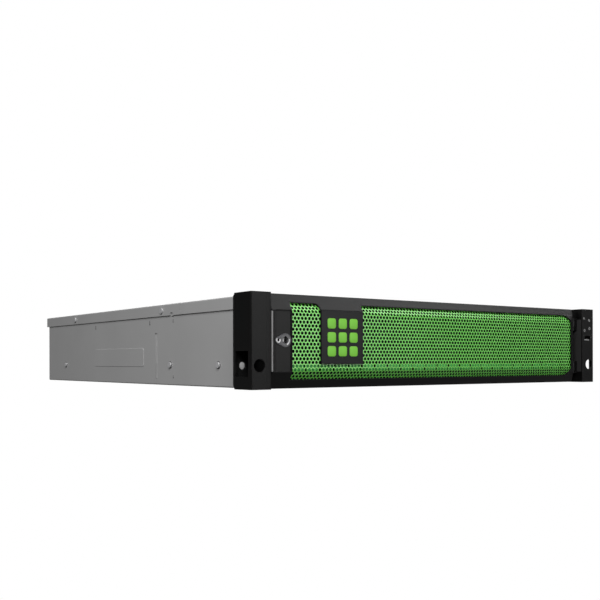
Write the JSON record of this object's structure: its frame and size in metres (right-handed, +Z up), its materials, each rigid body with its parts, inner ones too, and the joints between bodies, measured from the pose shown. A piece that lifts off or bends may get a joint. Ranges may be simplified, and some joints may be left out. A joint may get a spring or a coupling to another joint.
{
  "type": "rack drive enclosure",
  "caption": "Two-unit rack drive enclosure: hinged perforated bezel over a row of hot-swap drive bays, ear caps, lift-off cover, rear power and expander modules.",
  "frame": {"origin": "middle of the footprint, at the underside", "axes": "+X to the right seen from the front, +Y to the rear, +Z up"},
  "size_m": [0.4826, 0.587, 0.087],
  "materials": {
    "chassis_steel": "satin zinc-grey sheet steel",
    "zinc_steel": "plain galvanised sheet",
    "black_plastic": "fine matt texture",
    "green_steel": "satin green coat",
    "badge_black": "satin black",
    "bright_steel": "polished",
    "lock_surround": "satin grey",
    "board": "solder mask",
    "dark_plastic": "matt",
    "clear_lens": "clear moulding",
    "module_steel": "galvanised sheet",
    "fan_plastic": "matt",
    "handle_plastic": "matt",
    "carrier_plastic": "drive body with painted carrier front"
  },
  "bodies": {
    "root": {"chassis_tray": "chassis_steel", "front_top_panel": "chassis_steel", "drive_cage": "zinc_steel", "midplane_board": "board", "midplane_connectors": "dark_plastic", "rack_flange_left": "zinc_steel", "rack_flange_right": "zinc_steel", "ear_cap_left": "black_plastic", "ear_cap_right": "black_plastic", "indicator_lenses": "clear_lens", "usb_port": "bright_steel", "rail_studs": "bright_steel", "rear_bay_frame": "zinc_steel", "hinge_brackets": "zinc_steel"},
    "cover": {"rear_cover": "chassis_steel", "cover_screws": "bright_steel"},
    "power_button": {"power_button": "dark_plastic"},
    "locate_button": {"locate_button": "dark_plastic"},
    "bezel": {"bezel_frame": "black_plastic", "bezel_grille": "green_steel", "badge_plate": "badge_black", "latch_plate": "bright_steel", "lock_escutcheon": "lock_surround"},
    "lock": {"lock_barrel": "bright_steel", "lock_cam": "bright_steel"},
    "psu_left": {"power_supply_left": "module_steel"},
    "psu_fan_left": {"psu_fan_left": "fan_plastic"},
    "psu_handle_left": {"psu_handle_left": "handle_plastic"},
    "psu_right": {"power_supply_right": "module_steel"},
    "psu_fan_right": {"psu_fan_right": "fan_plastic"},
    "psu_handle_right": {"psu_handle_right": "handle_plastic"},
    "module_upper": {"expander_upper": "module_steel"},
    "lever_upper": {"expander_lever_upper": "handle_plastic"},
    "module_lower": {"expander_lower": "module_steel"},
    "lever_lower": {"expander_lever_lower": "handle_plastic"},
    "carrier_01": {"drive_carrier_01": "carrier_plastic"},
    "carrier_02": {"drive_carrier_02": "carrier_plastic"},
    "carrier_03": {"drive_carrier_03": "carrier_plastic"},
    "carrier_04": {"drive_carrier_04": "carrier_plastic"},
    "carrier_05": {"drive_carrier_05": "carrier_plastic"},
    "carrier_06": {"drive_carrier_06": "carrier_plastic"},
    "carrier_07": {"drive_carrier_07": "carrier_plastic"},
    "carrier_08": {"drive_carrier_08": "carrier_plastic"},
    "carrier_09": {"drive_carrier_09": "carrier_plastic"},
    "carrier_10": {"drive_carrier_10": "carrier_plastic"},
    "carrier_11": {"drive_carrier_11": "carrier_plastic"},
    "carrier_12": {"drive_carrier_12": "carrier_plastic"},
    "carrier_13": {"drive_carrier_13": "carrier_plastic"},
    "carrier_14": {"drive_carrier_14": "carrier_plastic"},
    "carrier_15": {"drive_carrier_15": "carrier_plastic"},
    "carrier_16": {"drive_carrier_16": "carrier_plastic"},
    "carrier_17": {"drive_carrier_17": "carrier_plastic"},
    "carrier_18": {"drive_carrier_18": "carrier_plastic"},
    "carrier_19": {"drive_carrier_19": "carrier_plastic"},
    "carrier_20": {"drive_carrier_20": "carrier_plastic"},
    "carrier_21": {"drive_carrier_21": "carrier_plastic"},
    "carrier_22": {"drive_carrier_22": "carrier_plastic"},
    "carrier_23": {"drive_carrier_23": "carrier_plastic"},
    "carrier_24": {"drive_carrier_24": "carrier_plastic"}
  },
  "joints": [
    {"name": "cover_lift", "type": "slide", "parent": "root", "child": "cover", "axis": [0, 0, 1], "range_m": [0, 0.1]},
    {"name": "power_push", "type": "slide", "parent": "root", "child": "power_button", "axis": [0, 1, 0], "range_m": [0, 0.001], "stiffness_N_per_m": 800},
    {"name": "locate_push", "type": "slide", "parent": "root", "child": "locate_button", "axis": [0, 1, 0], "range_m": [0, 0.001], "stiffness_N_per_m": 800},
    {"name": "bezel_swing", "type": "hinge", "parent": "root", "child": "bezel", "pos_m": [0.2148, -0.2825, 0.0435], "axis": [0, 0, 1], "range_deg": [0, 40]},
    {"name": "lock_turn", "type": "hinge", "parent": "bezel", "child": "lock", "pos_m": [-0.205, -0.2895, 0.0442], "axis": [0, 1, 0], "range_deg": [0, 90]},
    {"name": "psu_pull_left", "type": "slide", "parent": "root", "child": "psu_left", "axis": [0, 1, 0], "range_m": [0, 0.19]},
    {"name": "psu_fan_spin_left", "type": "hinge", "parent": "psu_left", "child": "psu_fan_left", "pos_m": [-0.1853, 0.2645, 0.0435], "axis": [0, 1, 0], "continuous": true},
    {"name": "psu_handle_turn_left", "type": "hinge", "parent": "psu_left", "child": "psu_handle_left", "pos_m": [-0.1353, 0.289, 0.074], "axis": [1, 0, 0], "range_deg": [0, 90]},
    {"name": "psu_pull_right", "type": "slide", "parent": "root", "child": "psu_right", "axis": [0, 1, 0], "range_m": [0, 0.19]},
    {"name": "psu_fan_spin_right", "type": "hinge", "parent": "psu_right", "child": "psu_fan_right", "pos_m": [0.1453, 0.2645, 0.0435], "axis": [0, 1, 0], "continuous": true},
    {"name": "psu_handle_turn_right", "type": "hinge", "parent": "psu_right", "child": "psu_handle_right", "pos_m": [0.1953, 0.289, 0.074], "axis": [1, 0, 0], "range_deg": [0, 90]},
    {"name": "module_pull_upper", "type": "slide", "parent": "root", "child": "module_upper", "axis": [0, 1, 0], "range_m": [0, 0.19]},
    {"name": "lever_turn_upper", "type": "hinge", "parent": "module_upper", "child": "lever_upper", "pos_m": [-0.1058, 0.2845, 0.0788], "axis": [0, 0, 1], "range_deg": [0, 60]},
    {"name": "module_pull_lower", "type": "slide", "parent": "root", "child": "module_lower", "axis": [0, 1, 0], "range_m": [0, 0.19]},
    {"name": "lever_turn_lower", "type": "hinge", "parent": "module_lower", "child": "lever_lower", "pos_m": [-0.1058, 0.2845, 0.0371], "axis": [0, 0, 1], "range_deg": [0, 60]},
    {"name": "carrier_01_slide", "type": "slide", "parent": "root", "child": "carrier_01", "axis": [0, -1, 0], "range_m": [0, 0.008]},
    {"name": "carrier_02_slide", "type": "slide", "parent": "root", "child": "carrier_02", "axis": [0, -1, 0], "range_m": [0, 0.008]},
    {"name": "carrier_03_slide", "type": "slide", "parent": "root", "child": "carrier_03", "axis": [0, -1, 0], "range_m": [0, 0.008]},
    {"name": "carrier_04_slide", "type": "slide", "parent": "root", "child": "carrier_04", "axis": [0, -1, 0], "range_m": [0, 0.008]},
    {"name": "carrier_05_slide", "type": "slide", "parent": "root", "child": "carrier_05", "axis": [0, -1, 0], "range_m": [0, 0.008]},
    {"name": "carrier_06_slide", "type": "slide", "parent": "root", "child": "carrier_06", "axis": [0, -1, 0], "range_m": [0, 0.008]},
    {"name": "carrier_07_slide", "type": "slide", "parent": "root", "child": "carrier_07", "axis": [0, -1, 0], "range_m": [0, 0.008]},
    {"name": "carrier_08_slide", "type": "slide", "parent": "root", "child": "carrier_08", "axis": [0, -1, 0], "range_m": [0, 0.008]},
    {"name": "carrier_09_slide", "type": "slide", "parent": "root", "child": "carrier_09", "axis": [0, -1, 0], "range_m": [0, 0.008]},
    {"name": "carrier_10_slide", "type": "slide", "parent": "root", "child": "carrier_10", "axis": [0, -1, 0], "range_m": [0, 0.008]},
    {"name": "carrier_11_slide", "type": "slide", "parent": "root", "child": "carrier_11", "axis": [0, -1, 0], "range_m": [0, 0.008]},
    {"name": "carrier_12_slide", "type": "slide", "parent": "root", "child": "carrier_12", "axis": [0, -1, 0], "range_m": [0, 0.008]},
    {"name": "carrier_13_slide", "type": "slide", "parent": "root", "child": "carrier_13", "axis": [0, -1, 0], "range_m": [0, 0.008]},
    {"name": "carrier_14_slide", "type": "slide", "parent": "root", "child": "carrier_14", "axis": [0, -1, 0], "range_m": [0, 0.008]},
    {"name": "carrier_15_slide", "type": "slide", "parent": "root", "child": "carrier_15", "axis": [0, -1, 0], "range_m": [0, 0.008]},
    {"name": "carrier_16_slide", "type": "slide", "parent": "root", "child": "carrier_16", "axis": [0, -1, 0], "range_m": [0, 0.008]},
    {"name": "carrier_17_slide", "type": "slide", "parent": "root", "child": "carrier_17", "axis": [0, -1, 0], "range_m": [0, 0.008]},
    {"name": "carrier_18_slide", "type": "slide", "parent": "root", "child": "carrier_18", "axis": [0, -1, 0], "range_m": [0, 0.008]},
    {"name": "carrier_19_slide", "type": "slide", "parent": "root", "child": "carrier_19", "axis": [0, -1, 0], "range_m": [0, 0.008]},
    {"name": "carrier_20_slide", "type": "slide", "parent": "root", "child": "carrier_20", "axis": [0, -1, 0], "range_m": [0, 0.008]},
    {"name": "carrier_21_slide", "type": "slide", "parent": "root", "child": "carrier_21", "axis": [0, -1, 0], "range_m": [0, 0.008]},
    {"name": "carrier_22_slide", "type": "slide", "parent": "root", "child": "carrier_22", "axis": [0, -1, 0], "range_m": [0, 0.008]},
    {"name": "carrier_23_slide", "type": "slide", "parent": "root", "child": "carrier_23", "axis": [0, -1, 0], "range_m": [0, 0.008]},
    {"name": "carrier_24_slide", "type": "slide", "parent": "root", "child": "carrier_24", "axis": [0, -1, 0], "range_m": [0, 0.008]}
  ]
}
